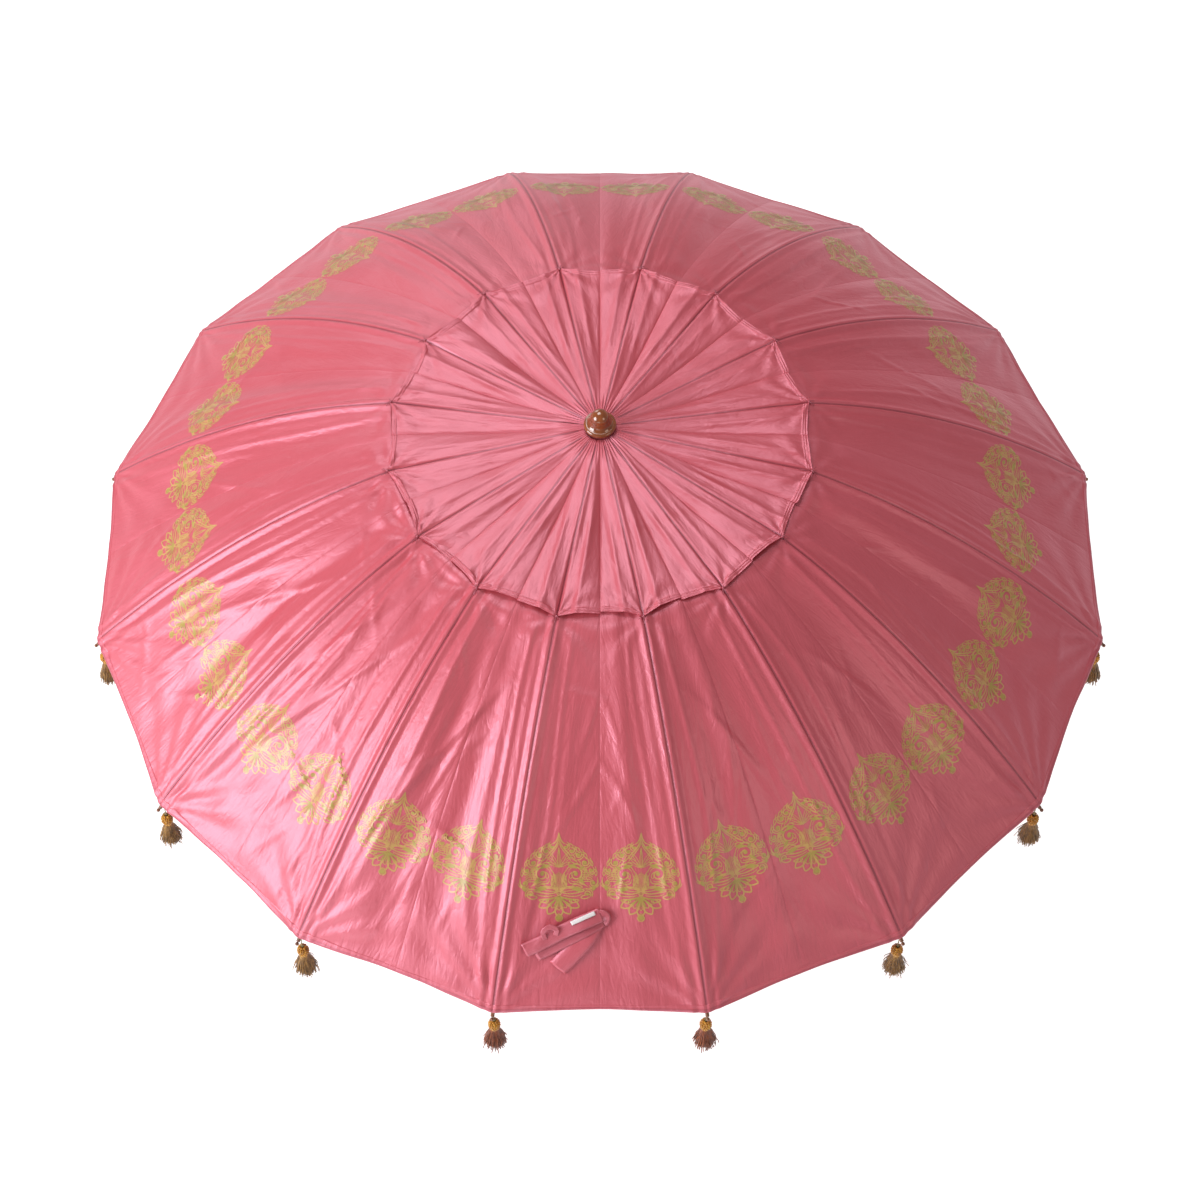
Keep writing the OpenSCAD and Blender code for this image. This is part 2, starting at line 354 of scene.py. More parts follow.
def thread(name, a, b, c, rough=0.4, sheen=0.3, stretch=(1, 1, 1)):
    m = Nodes(name)
    at = m.obj()
    patch = m.noise(m.mapped(at, (170, 170, 40)), 1.0, 3.0, 0.6)
    fine = m.noise(m.mapped(at, (900, 900, 160)), 1.0, 2.0, 0.6)
    colour = m.ramp(patch, [(0.32, a), (0.5, b), (0.68, c)])
    colour = m.mix(0.35, colour, m.ramp(fine, [(0.35, a), (0.68, c)]))
    m.link(colour, m.bsdf.inputs["Base Color"])
    m.link(m.bump(fine, 0.35, 0.0006), m.bsdf.inputs["Normal"])
    m.set(rough=rough, sheen=0.04, sheen_rough=0.4, spec=0.35)
    return m.m


M_SKIRT = thread(
    "thread_skirt", linear((70, 42, 14)), linear((126, 84, 32)), linear((180, 134, 64))
)
M_COPPER = thread(
    "thread_copper", linear((70, 26, 8)), linear((120, 50, 16)), linear((160, 82, 32))
)
M_HEAD = thread(
    "thread_head", linear((112, 62, 8)), linear((184, 120, 26)), linear((232, 180, 72)), 0.3
)
M_CORD = thread(
    "thread_cord", linear((84, 74, 44)), linear((124, 108, 66)), linear((158, 142, 98)), 0.5
)


def label_material():
    m = Nodes("label_cloth")
    at = m.obj()
    weave = m.noise(m.mapped(at, (900, 900, 900)), 1.0, 2.0, 0.5)
    m.link(
        m.ramp(weave, [(0.3, linear((214, 206, 206))), (0.7, linear((240, 236, 236)))]),
        m.bsdf.inputs["Base Color"],
    )
    m.link(m.bump(weave, 0.3, 0.0003), m.bsdf.inputs["Normal"])
    m.set(rough=0.65, sheen=0.2)
    return m.m


M_LABEL = label_material()


# ---------------------------------------------------------------- meshes
def mesh_object(name, verts, faces, mats, index=None, uv=None, smooth=True):
    me = bpy.data.meshes.new(name)
    verts = np.asarray(verts, float)
    faces = [tuple(int(i) for i in f) for f in faces]
    me.from_pydata(verts.tolist(), [], faces)
    for m in mats:
        me.materials.append(m)
    if index is not None:
        me.polygons.foreach_set("material_index", np.asarray(index, np.int32))
    me.polygons.foreach_set("use_smooth", np.full(len(me.polygons), smooth))
    if uv is not None:
        layer = me.uv_layers.new(name="UVMap")
        loops = np.zeros(len(me.loops), np.int32)
        me.loops.foreach_get("vertex_index", loops)
        layer.data.foreach_set("uv", np.asarray(uv, np.float32)[loops].reshape(-1))
    me.update()
    o = bpy.data.objects.new(name, me)
    bpy.context.scene.collection.objects.link(o)
    return o


class Build:
    """Gathers patches into one mesh."""

    def __init__(self, az=None):
        self.v, self.f, self.i, self.uv, self.n, self.az = [], [], [], [], 0, az

    def patch(self, points, uv, mat, flip=False):
        """A grid of quads. points is rows by columns by 3."""
        a, b = points.shape[:2]
        i = self.n + np.arange(a * b).reshape(a, b)
        q = np.stack([i[:-1, :-1], i[:-1, 1:], i[1:, 1:], i[1:, :-1]], -1).reshape(-1, 4)
        if flip:
            q = q[:, ::-1]
        self.v.append(points.reshape(-1, 3))
        self.uv.append(np.asarray(uv, float).reshape(-1, 2))
        self.f += q.tolist()
        self.i += [mat] * len(q) if np.isscalar(mat) else list(np.asarray(mat).reshape(-1))
        self.n += a * b

    def object(self, name, mats):
        points = np.concatenate(self.v)
        if self.az is not None:
            points = turned(self.az, points)
        return mesh_object(name, points, self.f, mats, self.i, np.concatenate(self.uv))


def turned(az, p):
    """Points in a rib's own frame (out, sideways, up) turned to its azimuth."""
    c, s = math.cos(az), math.sin(az)
    p = np.asarray(p, float)
    return np.stack(
        [p[..., 0] * c - p[..., 1] * s, p[..., 0] * s + p[..., 1] * c, p[..., 2]], -1
    )


# ---------------------------------------------------------------- the cloth's own shape
def unit_noise(seed, n):
    return rng(seed).uniform(-1, 1, max(n, 32))


def smooth_noise(seed, x, y):
    """A sum of a few sine waves with seeded directions, from about -1 to 1."""
    r = rng(seed)
    total = 0
    for _ in range(5):
        a, b, c = r.uniform(-1, 1), r.uniform(-1, 1), r.uniform(0, 6.28)
        total = total + np.sin(a * x + b * y + c)
    return total / 3.0


SLACK = [1.5, 1.7, 1.5, 1.1, 0.9, 0.8, 0.8, 0.9, 0.9, 0.9, 1.0, 1.0, 1.1, 1.1, 1.1, 1.0]


# Folds of single panels: from (x, down) to (x, down) in metres, height, width. x is towards the next rib and down is measured up from the hem.
FOLDS = {
    15: [(0.0, 0.50, 0.075, 0.36, 0.0030, 0.006), (0.0, 0.50, -0.075, 0.36, 0.0030, 0.006), (0.005, 0.64, 0.045, 0.50, 0.0022, 0.006), (-0.005, 0.64, -0.04, 0.50, 0.0022, 0.006), (0.03, 0.56, -0.03, 0.52, 0.0012, 0.004), (-0.02, 0.46, 0.03, 0.43, 0.0010, 0.004)],
    0: [(-0.045, 0.66, 0.135, 0.24, 0.0050, 0.009), (-0.01, 0.60, 0.05, 0.30, 0.0030, 0.007), (0.02, 0.24, 0.08, 0.03, 0.0022, 0.004), (-0.06, 0.50, 0.03, 0.42, 0.0024, 0.006)],
    1: [(-0.05, 0.64, 0.10, 0.22, 0.0050, 0.009), (0.03, 0.66, 0.12, 0.40, 0.0032, 0.008), (-0.06, 0.34, 0.0, 0.12, 0.0030, 0.006), (-0.09, 0.22, -0.02, 0.05, 0.0024, 0.005)],
    2: [(-0.06, 0.60, 0.06, 0.25, 0.0045, 0.009), (0.02, 0.55, 0.10, 0.30, 0.0030, 0.007), (-0.10, 0.22, -0.02, 0.10, 0.0030, 0.006), (-0.02, 0.22, 0.06, 0.12, 0.0026, 0.005), (0.04, 0.26, 0.12, 0.16, 0.0026, 0.005)],
    3: [(-0.05, 0.50, 0.05, 0.30, 0.0030, 0.008), (-0.08, 0.20, 0.02, 0.14, 0.0022, 0.005)],
    4: [(-0.04, 0.45, 0.06, 0.38, 0.0022, 0.006)],
    9: [(0.03, 0.60, -0.05, 0.30, 0.0028, 0.008)],
    10: [(-0.05, 0.55, 0.06, 0.38, 0.0026, 0.007)],
    13: [(0.04, 0.60, -0.04, 0.36, 0.0026, 0.007)],
    14: [(0.06, 0.64, -0.05, 0.35, 0.0036, 0.008), (0.0, 0.55, 0.06, 0.30, 0.0022, 0.006), (0.09, 0.40, 0.02, 0.20, 0.0022, 0.006)],
}


def fold_lines(p, x, down):
    f = 0.0
    for x0, d0, x1, d1, amp, wide in FOLDS.get(p, ()):
        ax, ay = x1 - x0, d1 - d0
        t = np.clip(((x - x0) * ax + (down - d0) * ay) / (ax * ax + ay * ay), 0, 1)
        # a little bow in the line, and one side steeper than the other
        bow = 0.006 * np.sin(math.pi * t)
        gx, gy = x - x0 - ax * t + bow, down - d0 - ay * t
        side = np.sign(gx * ay - gy * ax)
        f = f + amp * bell(np.hypot(gx, gy), wide * np.where(side > 0, 0.6, 1.7)) * np.sin(math.pi * (0.04 + 0.92 * t)) ** 0.6
    return f


def canopy_lift(p, r, w):
    """How far the canopy cloth of panel p stands out from its plain shape, in metres. w runs from -1 to 1 across the panel."""
    half = r * math.sin(H)
    x = w * half
    s = (1 - np.abs(w)) * half
    t = np.clip((r - RV) / (R - RV), 0, 1)
    down = (R - r) * 1.25
    k = SLACK[p]
    side = np.sign(w) + (w == 0)
    rnd = unit_noise(100 + p, 24)
    # the panel hollows a little between its ribs, with a fold line down its middle
    hollow = 0.009 * np.sin(math.pi * np.clip(t, 0, 1) ** 0.8) + 0.0015 * t
    f = -hollow * (0.5 * np.cos(w * math.pi / 2) ** 2 + 0.5 * (1 - np.abs(w)))
    f = f + 0.0035 * k * np.sin(math.pi * w) * rnd[20] * np.sin(math.pi * np.clip(t, 0, 1))
    # rolls along the seam, where the cloth is drawn over the rib
    f = f + 0.0022 * bell(s - 0.0065, 0.0042)
    wander = 0.004 * np.sin(9 * t + 3 * rnd[0] + side) + 0.005 * np.sin(4 * t + rnd[1])
    second = 0.030 + 0.020 * np.sin(math.pi * np.clip(t, 0, 1)) + wander
    f = f + 0.0026 * k * bell(s - second, 0.0062) * ease(0.0, 0.1, t)
    f = f - 0.0016 * k * bell(s - 0.019, 0.005)
    third = second + 0.030 + 0.010 * np.sin(6 * t + 2 * rnd[2] + 2 * side)
    f = f + 0.0018 * k * bell(s - third, 0.010) * ease(0.15, 0.4, t) * (1 - ease(0.75, 1, t))
    # long soft folds that run down the panel
    env = 0.35 + 0.65 * np.sin(math.pi * np.clip(t * 0.9 + 0.05, 0, 1))
    free = ease(0.0, 0.05, s)
    for j in range(4):
        a = (1.5 + j) * math.pi
        f = f + (
            0.0019 * k / (1 + 0.4 * j) * np.sin(a * w + 2.2 * rnd[3 + j] + (0.8 + 0.5 * rnd[8 + j]) * t)
        ) * env * free
    # drag lines that fan out from the four corners of the panel
    for c, (r0, sgn) in enumerate(((R, 1), (R, -1), (RV, 1), (RV, -1))):
        dx = half * (1 - w * sgn)
        dy = np.abs(r - r0) * 1.25
        dist = np.hypot(dx, dy) + 1e-4
        ang = np.arctan2(dx, dy)
        reach = 0.17 if r0 == R else 0.13
        f = f + (
            (0.0026 if r0 == R else 0.0017) * k
            * np.sin(ang * ((15 if r0 == R else 10) + 3 * rnd[12 + c]) + 3 * rnd[16 + c])
            * np.exp(-dist / reach)
            * ease(0.0, 0.06, dist)
            * ease(0.05, 0.30, ang)
        )
    # sharp little pull lines here and there
    r2 = rng(500 + p)
    for _ in range(int(5 * k)):
        u0, v0 = r2.uniform(-0.75, 0.75), r2.uniform(0.15, 0.92)
        a = r2.uniform(-1.0, 1.0) + (1.2 if r2.uniform() < 0.5 else -1.2)
        length, width = r2.uniform(0.03, 0.08), r2.uniform(0.0035, 0.007)
        hx = x - u0 * (RV + (R - RV) * v0) * math.sin(H)
        hy = (t - v0) * (R - RV) * 1.25
        along, across = hx * math.cos(a) + hy * math.sin(a), -hx * math.sin(a) + hy * math.cos(a)
        f = f + r2.uniform(0.0012, 0.0026) * k * bell(along, length) * bell(across, width) * free
    f = f + fold_lines(p, x, down) * free
    f = f + 0.0007 * k * smooth_noise(900 + p, x * 75, down * 11) * free
    # the crease where the panel was folded in half
    f = f - 0.0008 * np.exp(-np.abs(x) / 0.003)
    # the seam is pulled down to the rib, the hem is drawn tight at its corners
    f = f - 0.0015 * bell(s, 0.0016)
    rim = ease(R - 0.05, R, r)
    f = f * (1 - 0.45 * rim)
    return f


def canopy_point(k, side, r, s, extra=0.0):
    """A point of the canopy in rib k's own frame, at radius r along the rib and s metres from the seam, on the side of the next rib (side -1) or the last one (1)."""
    half = r * math.sin(H)
    p = k if side < 0 else (k - 1) % N
    w = (-1 + s / half) if side < 0 else (1 - s / half)
    lift = canopy_lift(p, r, w) + extra
    sl = slope(r) / math.cos(H)
    h = np.sqrt(1 + sl * sl)
    out = np.stack(
        [-sl / h * math.cos(H), -sl / h * side * math.sin(H), 1 / h], -1
    )
    base = np.stack(
        [r - s * math.sin(H), side * s * math.cos(H), ZR + rise(r)], -1
    )
    return base + out * lift[..., None]


# down-panel length from the throat, for the UVs
_r = np.linspace(0.0, R + 0.02, 400)
_arc = np.concatenate([[0], np.cumsum(np.hypot(np.diff(_r), np.diff(rise(_r))))])


def arc(r):
    return np.interp(r, _r, _arc)


def fold(o):
    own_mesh(o)


# ---------------------------------------------------------------- the printed motif
class Motif:
    """Strokes in a plane, in metres: x across and y from the tip near the rim up towards the apex."""

    def __init__(self):
        self.strips = []  # (points rows x 2 x 2, material)

    def stroke(self, pts, w0, w1=None, mat=1, mirror=True, taper=True):
        pts = np.asarray(pts, float)
        d = np.gradient(pts, axis=0)
        d /= np.linalg.norm(d, axis=1)[:, None] + 1e-9
        n = np.stack([-d[:, 1], d[:, 0]], 1)
        t = np.linspace(0, 1, len(pts))
        w1 = w0 if w1 is None else w1
        w = w0 + (w1 - w0) * t
        if taper:
            w = w * np.minimum(1, 0.25 + 5 * np.minimum(t, 1 - t))
        row = np.stack([pts - n * w[:, None] / 2, pts + n * w[:, None] / 2], 1)
        self.strips.append((row, mat))
        if mirror:
            m = row.copy()
            m[..., 0] *= -1
            self.strips.append((m[:, ::-1], mat))

    def curve(self, ctrl, w0, w1=None, mat=1, mirror=True, n=12, taper=True):
        """A smooth line through control points."""
        ctrl = np.asarray(ctrl, float)
        c = np.vstack([2 * ctrl[0] - ctrl[1], ctrl, 2 * ctrl[-1] - ctrl[-2]])
        out = []
        per = max(3, n // (len(ctrl) - 1))
        for i in range(1, len(c) - 2):
            for t in np.linspace(0, 1, per, endpoint=False):
                a, b, e, g = c[i - 1], c[i], c[i + 1], c[i + 2]
                out.append(
                    0.5 * (2 * b + (e - a) * t + (2 * a - 5 * b + 4 * e - g) * t * t + (3 * b - a - 3 * e + g) * t**3)
                )
        out.append(ctrl[-1])
        self.stroke(out, w0, w1, mat, mirror, taper)

    def leaf(self, at, angle, length, width, mat=2, mirror=True, bend=0.0, n=9, hollow=False, line=0.0016, blunt=0.8):
        """A pointed leaf, filled, or drawn as an outline."""
        t = np.linspace(0, 1, n)
        wide = width / 2 * np.sin(math.pi * t**blunt) ** 0.9
        a = math.radians(angle) + bend * t
        dx = np.concatenate([[0], np.cumsum(np.cos(a[1:]) * length / (n - 1))])
        dy = np.concatenate([[0], np.cumsum(np.sin(a[1:]) * length / (n - 1))])
        mid = np.stack([at[0] + dx, at[1] + dy], 1)
        nn = np.stack([-np.sin(a), np.cos(a)], 1)
        left, right = mid - nn * wide[:, None], mid + nn * wide[:, None]
        if hollow:
            self.stroke(left, line, mat=mat, mirror=mirror, taper=False)
            self.stroke(right, line, mat=mat, mirror=mirror, taper=False)
        else:
            row = np.stack([left, right], 1)
            self.strips.append((row, mat))
            if mirror:
                m = row.copy()
                m[..., 0] *= -1
                self.strips.append((m[:, ::-1], mat))

    def scroll(self, at, radius, start, turns, w0, w1, mat=1, sense=1, n=20, wind=0.82):
        t = np.linspace(0, 1, n)
        a = math.radians(start) + sense * 2 * math.pi * turns * t
        r = radius * (1 - wind * t)
        self.stroke(
            np.stack([at[0] + r * np.cos(a), at[1] + r * np.sin(a)], 1), w0, w1, mat
        )

    def dot(self, at, radius, mat=2, mirror=True):
        t = np.linspace(0, math.pi, 7)
        row = np.stack(
            [
                np.stack([at[0] + radius * np.cos(t), at[1] - radius * np.sin(t)], 1),
                np.stack([at[0] + radius * np.cos(t), at[1] + radius * np.sin(t)], 1),
            ],
            1,
        )
        self.strips.append((row, mat))
        if mirror and abs(at[0]) > 1e-6:
            m = row.copy()
            m[..., 0] *= -1
            self.strips.append((m[:, ::-1], mat))


def draw_motif():
    """An ogee palmette over an open lotus, in line. Drawn in half widths: x runs from -1 to 1, y from the tip at 0 up to 2.27."""
    m = Motif()
    a, b, c = 0.037, 0.029, 0.022  # line widths
    # the outer ogee, its tip, and the pointed arch inside it
    m.curve([(0.0, 2.27), (0.025, 2.14), (0.09, 2.02), (0.17, 1.97)], a, b, 1, n=10)
    m.curve([(0.0, 2.13), (0.04, 2.0), (0.13, 1.86), (0.24, 1.74), (0.36, 1.60), (0.47, 1.50)], a, b, 1, n=18)
    m.curve([(0.0, 2.02), (0.05, 1.90), (0.15, 1.76), (0.26, 1.62), (0.33, 1.50)], b, c, 1, n=14)
    # scrolls that climb the outside, each with a bud and an outer leaf
    for x, y, r, start, sense in (
        (0.17, 1.90, 0.075, 100, -1),
        (0.32, 1.80, 0.095, 90, -1),
        (0.49, 1.70, 0.115, 80, -1),
        (0.66, 1.50, 0.130, 70, -1),
        (0.82, 1.31, 0.090, 60, -1),
        (0.88, 0.98, 0.115, 20, -1),
        (0.72, 0.69, 0.105, -60, 1),
    ):
        m.scroll((x, y), r, start, 1.05, a, c, 1, sense, 18)
        m.scroll((x, y), r + 0.052, start + sense * 20, 0.42, c, b, 1, sense, 12, 0.25)
        m.dot((x + 0.01, y - 0.01), 0.30 * r + 0.012, 2)
    for x, y, ang, l, bend in (
        (0.23, 1.95, 5, 0.17, -1.2), (0.40, 1.86, 0, 0.20, -1.3), (0.58, 1.74, -8, 0.22, -1.3),
        (0.75, 1.55, -12, 0.20, -1.3), (0.88, 1.32, -30, 0.20, -1.2), (0.30, 1.68, -20, 0.18, -1.0),
        (0.44, 1.56, -25, 0.20, -1.0), (0.56, 1.38, -10, 0.24, -1.0), (0.58, 1.30, -14, 0.26, -0.9),
    ):
        m.leaf((x, y), ang, l, 0.075, 1, bend=bend, hollow=True, line=c)
    # feathers over the outer scroll, and the scroll's two long lines
    for j in range(5):
        m.curve([(0.60 - 0.012 * j, 1.25 - 0.062 * j), (0.76 + 0.005 * j, 1.24 - 0.058 * j), (0.90 - 0.015 * j, 1.16 - 0.055 * j)], c, c, 1, n=8)
    m.curve([(0.99, 1.12), (1.0, 0.98), (0.95, 0.86), (0.86, 0.82), (0.76, 0.84)], b, a, 1, n=14)
    m.leaf((0.93, 0.90), 235, 0.16, 0.10, 2, bend=0.4)
    # the big inner scrolls with their stems
    m.scroll((0.43, 1.20), 0.205, 165, 1.45, a, b, 1, -1, 32)
    m.scroll((0.43, 1.20), 0.262, 175, 0.78, b, c, 1, -1, 22, 0.12)
    m.dot((0.43, 1.21), 0.055, 2)
    m.curve([(0.235, 1.24), (0.17, 1.10), (0.16, 0.97), (0.22, 0.87), (0.36, 0.86), (0.52, 0.90)], b, b, 1, n=18)
    # what fills the ground between the scrolls
    m.curve([(0.24, 1.08), (0.27, 0.98), (0.38, 0.95), (0.52, 1.00), (0.62, 1.12), (0.66, 1.26)], b, c, 1, n=18)
    m.curve([(0.30, 1.03), (0.42, 1.00), (0.54, 1.07), (0.62, 1.22)], c, c, 1, n=12)
    m.curve([(0.62, 1.36), (0.70, 1.30), (0.74, 1.20), (0.70, 1.10), (0.76, 1.02)], b, c, 1, n=14)
    m.curve([(0.27, 1.36), (0.38, 1.46), (0.52, 1.45), (0.62, 1.38)], b, c, 1, n=12)
    m.leaf((0.30, 1.08), 100, 0.18, 0.07, 1, bend=-0.8, hollow=True, line=c)
    m.leaf((0.52, 1.30), 60, 0.16, 0.06, 2, bend=-0.8)
    m.leaf((0.20, 0.92), 118, 0.30, 0.07, 1, bend=-0.5, hollow=True, line=c)
    m.leaf((0.66, 0.98), 160, 0.22, 0.07, 2, bend=-0.6)
    m.curve([(0.18, 1.30), (0.10, 1.16), (0.09, 0.98), (0.14, 0.84)], c, c, 1, n=12)
    m.leaf((0.24, 1.40), 20, 0.26, 0.10, 2, bend=-1.1)
    m.leaf((0.22, 1.44), 34, 0.22, 0.07, 1, bend=-1.0, hollow=True, line=c)
    # the palmette inside the arch
    for ang, l in ((74, 0.46), (56, 0.40), (38, 0.32)):
        m.leaf((0.03, 1.38), ang, l, 0.060, 1, bend=-0.45, hollow=True, line=c * 0.7)
    m.leaf((0.0, 1.36), 90, 0.52, 0.06, 1, mirror=False, hollow=True, line=c)
    m.stroke([(0.0, 1.38), (0.0, 1.84)], c, c, 1, mirror=False)
    # the tulip in the middle
    for j, x in enumerate((0.022, 0.052, 0.084, 0.118, 0.152)):
        m.curve([(0.01 + x * 0.1, 0.78), (x * 1.15, 0.92), (x * 1.25, 1.08), (x * 0.75, 1.26 - 0.02 * j)], c * 0.8, c * 0.8, 1, n=10)
    m.stroke([(0.0, 0.78), (0.0, 1.30)], c, c, 1, mirror=False)
    # the wide leaves on which it stands
    m.leaf((0.32, 0.82), 2, 0.30, 0.10, 2, bend=-0.3)
    m.leaf((0.07, 0.775), 14, 0.34, 0.07, 1, bend=-0.3, hollow=True, line=c)
    m.leaf((0.04, 0.765), 10, 0.62, 0.19, 1, bend=-0.30, hollow=True, line=b)
    m.curve([(0.06, 0.72), (0.26, 0.70), (0.44, 0.72), (0.60, 0.80), (0.74, 0.84)], b, c, 1, n=14)
    m.curve([(0.10, 0.66), (0.30, 0.63), (0.48, 0.64), (0.60, 0.69)], b, c, 1, n=12)
    m.leaf((0.56, 0.60), -4, 0.30, 0.10, 1, bend=0.6, hollow=True, line=b)
    m.leaf((0.34, 0.90), 8, 0.28, 0.07, 1, bend=-0.5, hollow=True, line=c)
    for j in range(3):
        m.curve([(0.46 + 0.04 * j, 1.00 - 0.03 * j), (0.58 + 0.04 * j, 0.98 - 0.03 * j), (0.68 + 0.03 * j, 0.93 - 0.03 * j)], c, c, 1, n=7)
    # the small ring over the lotus
    t = np.linspace(0, 2 * math.pi, 15)
    m.stroke(np.stack([0.055 * np.cos(t), 0.71 + 0.055 * np.sin(t)], 1), b, mat=1, mirror=False, taper=False)
    m.dot((0.0, 0.71), 0.022, 2, False)
    # the lotus: five petals in double outline round a bud, with green tips between them
    for ang, l, w in ((-90, 0.56, 0.20), (-62, 0.55, 0.22), (-33, 0.60, 0.20)):
        mir = ang > -90
        for q, line in ((1.0, a), (0.66, c)):
            m.leaf((0.0, 0.64), ang, l * q, w * q, 1, mir, 0.12 if mir else 0, 13, True, line, 1.7)
        m.leaf((0.0, 0.60), ang, l * 0.55, 0.035, 2, mir, 0.10 if mir else 0)
    for ang, l in ((-76, 0.30), (-47, 0.32), (-18, 0.40)):
        m.leaf((0.02, 0.62), ang, l, 0.040, 2, True, 0.1)
    m.leaf((0.26, 0.52), -14, 0.26, 0.09, 1, bend=0.5, hollow=True, line=b)
    m.dot((0.0, 0.08), 0.068, 2, False)
    m.leaf((0.0, 0.16), -40, 0.16, 0.05, 1, bend=-0.6, hollow=True, line=c)
    m.curve([(0.0, 0.20), (0.06, 0.13), (0.09, 0.06), (0.04, -0.005), (0.0, -0.01)], b, b, 1, n=12)
    scale = np.array([0.0768, 0.0795])
    return [(row * scale, mat) for row, mat in m.strips]


STRIPS = draw_motif()
MOTIF_TIP = 0.961  # the rib radius at which the motif's lower tip lies


def put_motif(b, k, side):
    """Lays the motif on rib k's half panel."""
    arc_tip = arc(MOTIF_TIP)
    for row, mat in STRIPS:
        x, y = row[..., 0], row[..., 1]
        a = arc_tip - y
        r = np.interp(a, _arc, _r)
        # the motif's middle line runs down the middle of the half panel
        s = r * math.sin(H) - 0.0810 - side * x
        layer = 0.00035 if mat == 1 else 0.0006
        q = canopy_point(k, side, r, s, layer)
        b.patch(q, np.stack([s * 10, a * 10], -1), mat, flip=side > 0)


def half_panel_columns(n_mid=26):
    """Shares of the half width, close together at the seam and at the crease."""
    a = np.array([0, 0.006, 0.014, 0.024, 0.036, 0.05, 0.066, 0.084, 0.104, 0.126, 0.15, 0.178, 0.208, 0.24])
    b = np.linspace(0.24, 0.955, n_mid)[1:]
    return np.concatenate([a, b, [0.972, 0.985, 0.994, 1.0]])


def make_canopy():
    cols = half_panel_columns()
    rows = np.concatenate([np.linspace(THROAT, RV, 10)[:-1], np.linspace(RV, R - 0.012, 92)])
    r, v = np.meshgrid(rows, cols, indexing="ij")
    s = v * r * math.sin(H)
    out = []
    for k in range(N):
        for side in (-1, 1):
            b = Build(azimuth(k))
            q = canopy_point(k, side, r, s)
            b.patch(q, np.stack([s * 10, arc(r) * 10], -1), 0, flip=side > 0)
            # the hem: the cloth turned under, with two rows of stitches in a shallow groove
            hr = np.array([R - 0.012, R - 0.0112, R - 0.0104, R - 0.009, R - 0.006, R - 0.003, R - 0.001, R, R, R - 0.0012, R - 0.0012])
            lift = np.array([0, 0.0006, 0.0010, 0.0005, 0.0010, 0.0011, 0.0009, 0.0002, -0.0009, -0.0013, -0.0003])
            hr2, hv = np.meshgrid(hr, cols, indexing="ij")
            # the hem hangs in a very shallow scallop between the ribs
            scallop = -0.005 * np.sin(hv * math.pi / 2) ** 2 * ease(R - 0.012, R, hr2)
            hr3 = hr2 + scallop
            hs = hv * hr2 * math.sin(H)
            hq = canopy_point(k, side, hr3, np.minimum(hs, hr3 * math.sin(H)), np.broadcast_to(lift[:, None], hr2.shape))
            # the rows past the fold take the darker hem colour, painted shade along the rolled edge and under it
            mats = np.full((len(hr) - 1, len(cols) - 1), 3)
            mats[:4] = 0
            b.patch(hq, np.stack([hs * 10, arc(hr2) * 10 + 0.02], -1), mats, flip=side > 0)
            # the seam itself, a dark thread line drawn down between the rolls
            sr = np.concatenate([np.linspace(THROAT, RV, 6)[:-1], np.linspace(RV, R, 70)])
            sv = np.array([0.0, 0.0007, 0.0015, 0.0022])
            sr2, ss = np.meshgrid(sr, sv, indexing="ij")
            sq = canopy_point(k, side, sr2, ss, 0.0007 - 0.25 * ss)
            b.patch(sq, np.stack([ss * 10, arc(sr2) * 10], -1), 4, flip=side > 0)
            put_motif(b, k, side)
            o = b.object(f"canopy_half_{k + 1:02d}{'a' if side < 0 else 'b'}", [M_SATIN, M_GOLD, M_OLIVE, M_HEM_SHADED, M_SEAM])
            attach(o, f"rib_{k + 1:02d}_body")
            fold(o)
            out.append(o)
    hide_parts("canopy")
    return out


def make_tape(name, k, point, rows, half, extra):
    """A strip of the same cloth sewn along the underside of a seam, which also covers the rib when the cloth is folded."""
    b = Build(azimuth(k))
    cols = np.linspace(0, 1, 6)
    r, v = np.meshgrid(rows, cols, indexing="ij")
    for side in (-1, 1):
        s = v * np.minimum(half, 0.9 * r * math.sin(H))
        b.patch(point(k, side, r, s, extra), np.stack([s * 10, r * 10], -1), 0, flip=side > 0)
    o = b.object(f"{name}_{k + 1:02d}", [M_SATIN])
    weld(o)
    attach(o, f"rib_{k + 1:02d}_body")


def make_tapes():
    for k in range(N):
        make_tape("seam_tape", k, canopy_point, np.linspace(THROAT, R - 0.004, 60), 0.014, -0.0017)
        make_tape("cap_tape", k, cap_point, np.linspace(0.046, RV - 0.014, 30), 0.011, -0.0014)


# ---------------------------------------------------------------- the vent cap
CAP_IN = 0.033


